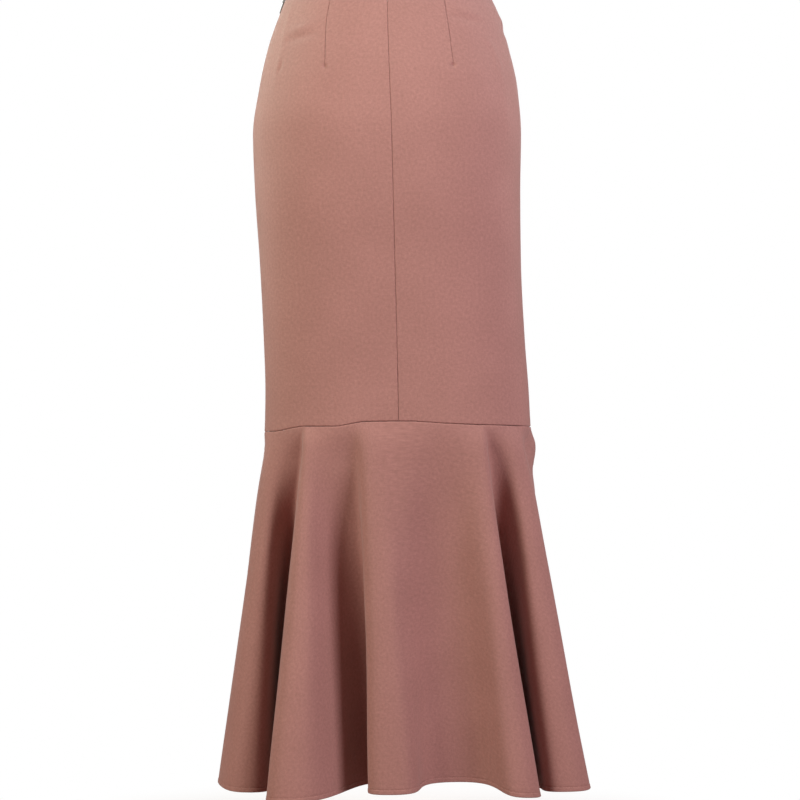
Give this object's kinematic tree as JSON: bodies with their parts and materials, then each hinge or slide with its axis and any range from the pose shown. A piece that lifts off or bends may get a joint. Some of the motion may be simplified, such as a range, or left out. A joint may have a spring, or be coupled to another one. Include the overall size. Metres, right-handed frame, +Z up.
{
  "type": "mermaid fishtail skirt",
  "caption": "Long fitted skirt in its worn shape, flaring at the knee into a deep fluted circular flounce, with a side zip.",
  "frame": {"origin": "middle of the waist opening, level with the waist edge", "axes": "+Z up, +X to the wearer's right, +Y to the wearer's front, so the back of the skirt faces -Y"},
  "size_m": [0.4733, 0.3026, 1.0262],
  "materials": {
    "crepe": "matt crepe-faced double knit in dusty rose",
    "zip_tape": "woven polyester tape",
    "zip_coil": "dyed nylon coil",
    "zip_metal": "nickel-plated zinc casting"
  },
  "bodies": {
    "skirt": {"front_panel": "crepe", "back_panel_left": "crepe", "back_panel_right": "crepe", "flounce_back": "crepe", "flounce_front": "crepe", "zip_tape_front": "zip_tape", "zip_tape_back": "zip_tape", "zip_coil": "zip_coil", "zip_slider": "zip_metal"},
    "pull_tab": {"zip_pull": "zip_metal"}
  },
  "joints": [
    {"name": "pull_tab_hinge", "type": "hinge", "parent": "skirt", "child": "pull_tab", "pos_m": [-0.13251, 0.00508, -0.01578], "axis": [0, 1, 0], "range_deg": [0, 165]}
  ]
}
